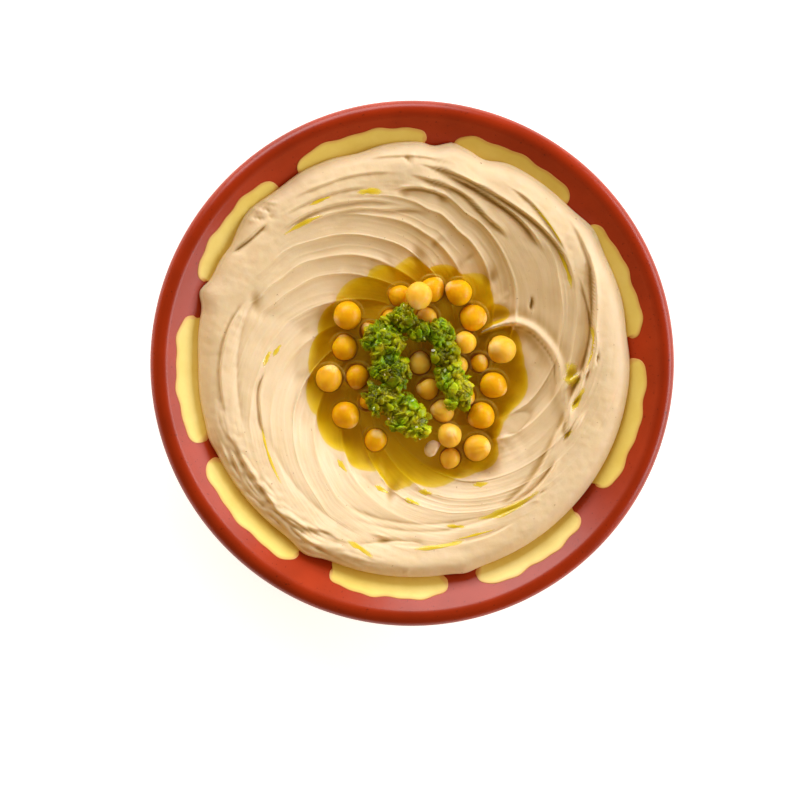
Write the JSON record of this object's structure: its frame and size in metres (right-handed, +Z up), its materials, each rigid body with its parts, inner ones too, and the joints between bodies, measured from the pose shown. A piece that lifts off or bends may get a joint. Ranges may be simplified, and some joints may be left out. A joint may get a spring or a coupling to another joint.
{
  "type": "bowl of hummus",
  "caption": "Round glazed clay dish filled with hummus swirled round a well of olive oil, topped with chickpeas, a chip of garlic and chopped green relish.",
  "frame": {"origin": "middle of the underside of the dish's foot ring", "axes": "+Z up; +X and +Y level, to the right and to the back of the dish as it is served"},
  "size_m": [0.2, 0.2, 0.036],
  "materials": {
    "red_clay_glaze": "glazed red-brown clay with nine painted yellow patches",
    "hummus": "soft smooth paste, satin",
    "olive_oil": "clear golden green oil",
    "chickpea": "cooked chickpea skin, oiled",
    "garlic_chip": "pale moist garlic",
    "green_relish": "wet chopped green herb and chilli"
  },
  "bodies": {
    "root": {"dish": "red_clay_glaze", "hummus": "hummus", "olive_oil": "olive_oil", "chickpea_01": "chickpea", "chickpea_02": "chickpea", "chickpea_03": "chickpea", "chickpea_04": "chickpea", "chickpea_05": "chickpea", "chickpea_06": "chickpea", "chickpea_07": "chickpea", "chickpea_08": "chickpea", "chickpea_09": "chickpea", "chickpea_10": "chickpea", "chickpea_11": "chickpea", "chickpea_12": "chickpea", "chickpea_13": "chickpea", "chickpea_14": "chickpea", "chickpea_15": "chickpea", "chickpea_16": "chickpea", "chickpea_17": "chickpea", "chickpea_18": "chickpea", "chickpea_19": "chickpea", "chickpea_20": "chickpea", "chickpea_21": "chickpea", "chickpea_22": "chickpea", "chickpea_23": "chickpea", "chickpea_24": "chickpea", "chickpea_25": "chickpea", "chickpea_26": "chickpea", "chickpea_27": "chickpea", "chickpea_28": "chickpea", "garlic_chip": "garlic_chip", "green_relish": "green_relish"}
  },
  "joints": []
}
